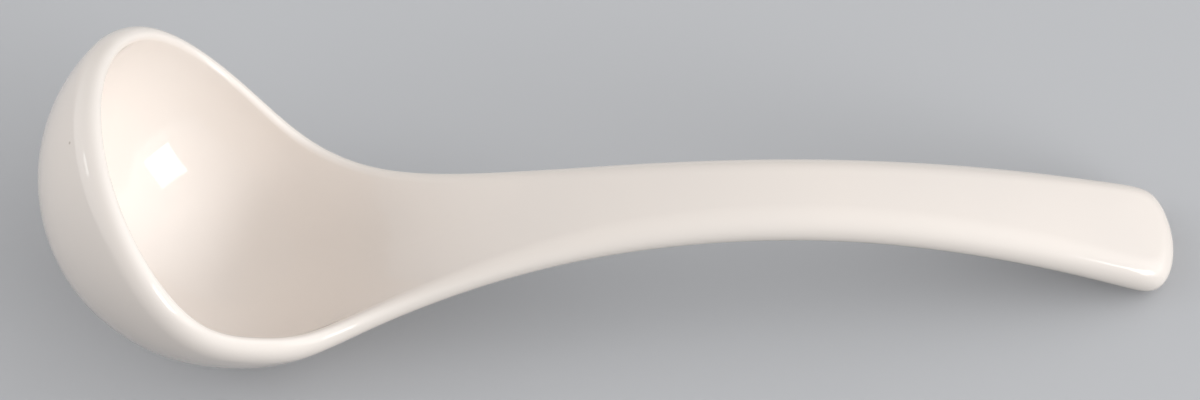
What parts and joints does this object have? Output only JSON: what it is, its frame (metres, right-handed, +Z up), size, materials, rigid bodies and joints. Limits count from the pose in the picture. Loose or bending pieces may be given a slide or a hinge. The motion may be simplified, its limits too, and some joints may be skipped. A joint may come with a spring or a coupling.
{
  "type": "gravy ladle",
  "caption": "Glazed ceramic gravy ladle with a deep round bowl that leans back and a flat arched handle with a rounded end.",
  "frame": {"origin": "on the table's surface, under the middle of the ladle's bounding box, with the ladle lying on the belly of its bowl and the end of its handle", "axes": "+X along the ladle from the bowl to the end of the handle, +Z up from the table, and XZ is the ladle's plane of symmetry"},
  "size_m": [0.1898, 0.06, 0.0569],
  "materials": {
    "glaze": "glossy warm white glaze"
  },
  "bodies": {
    "root": {"bowl": "glaze", "handle": "glaze"}
  },
  "joints": []
}
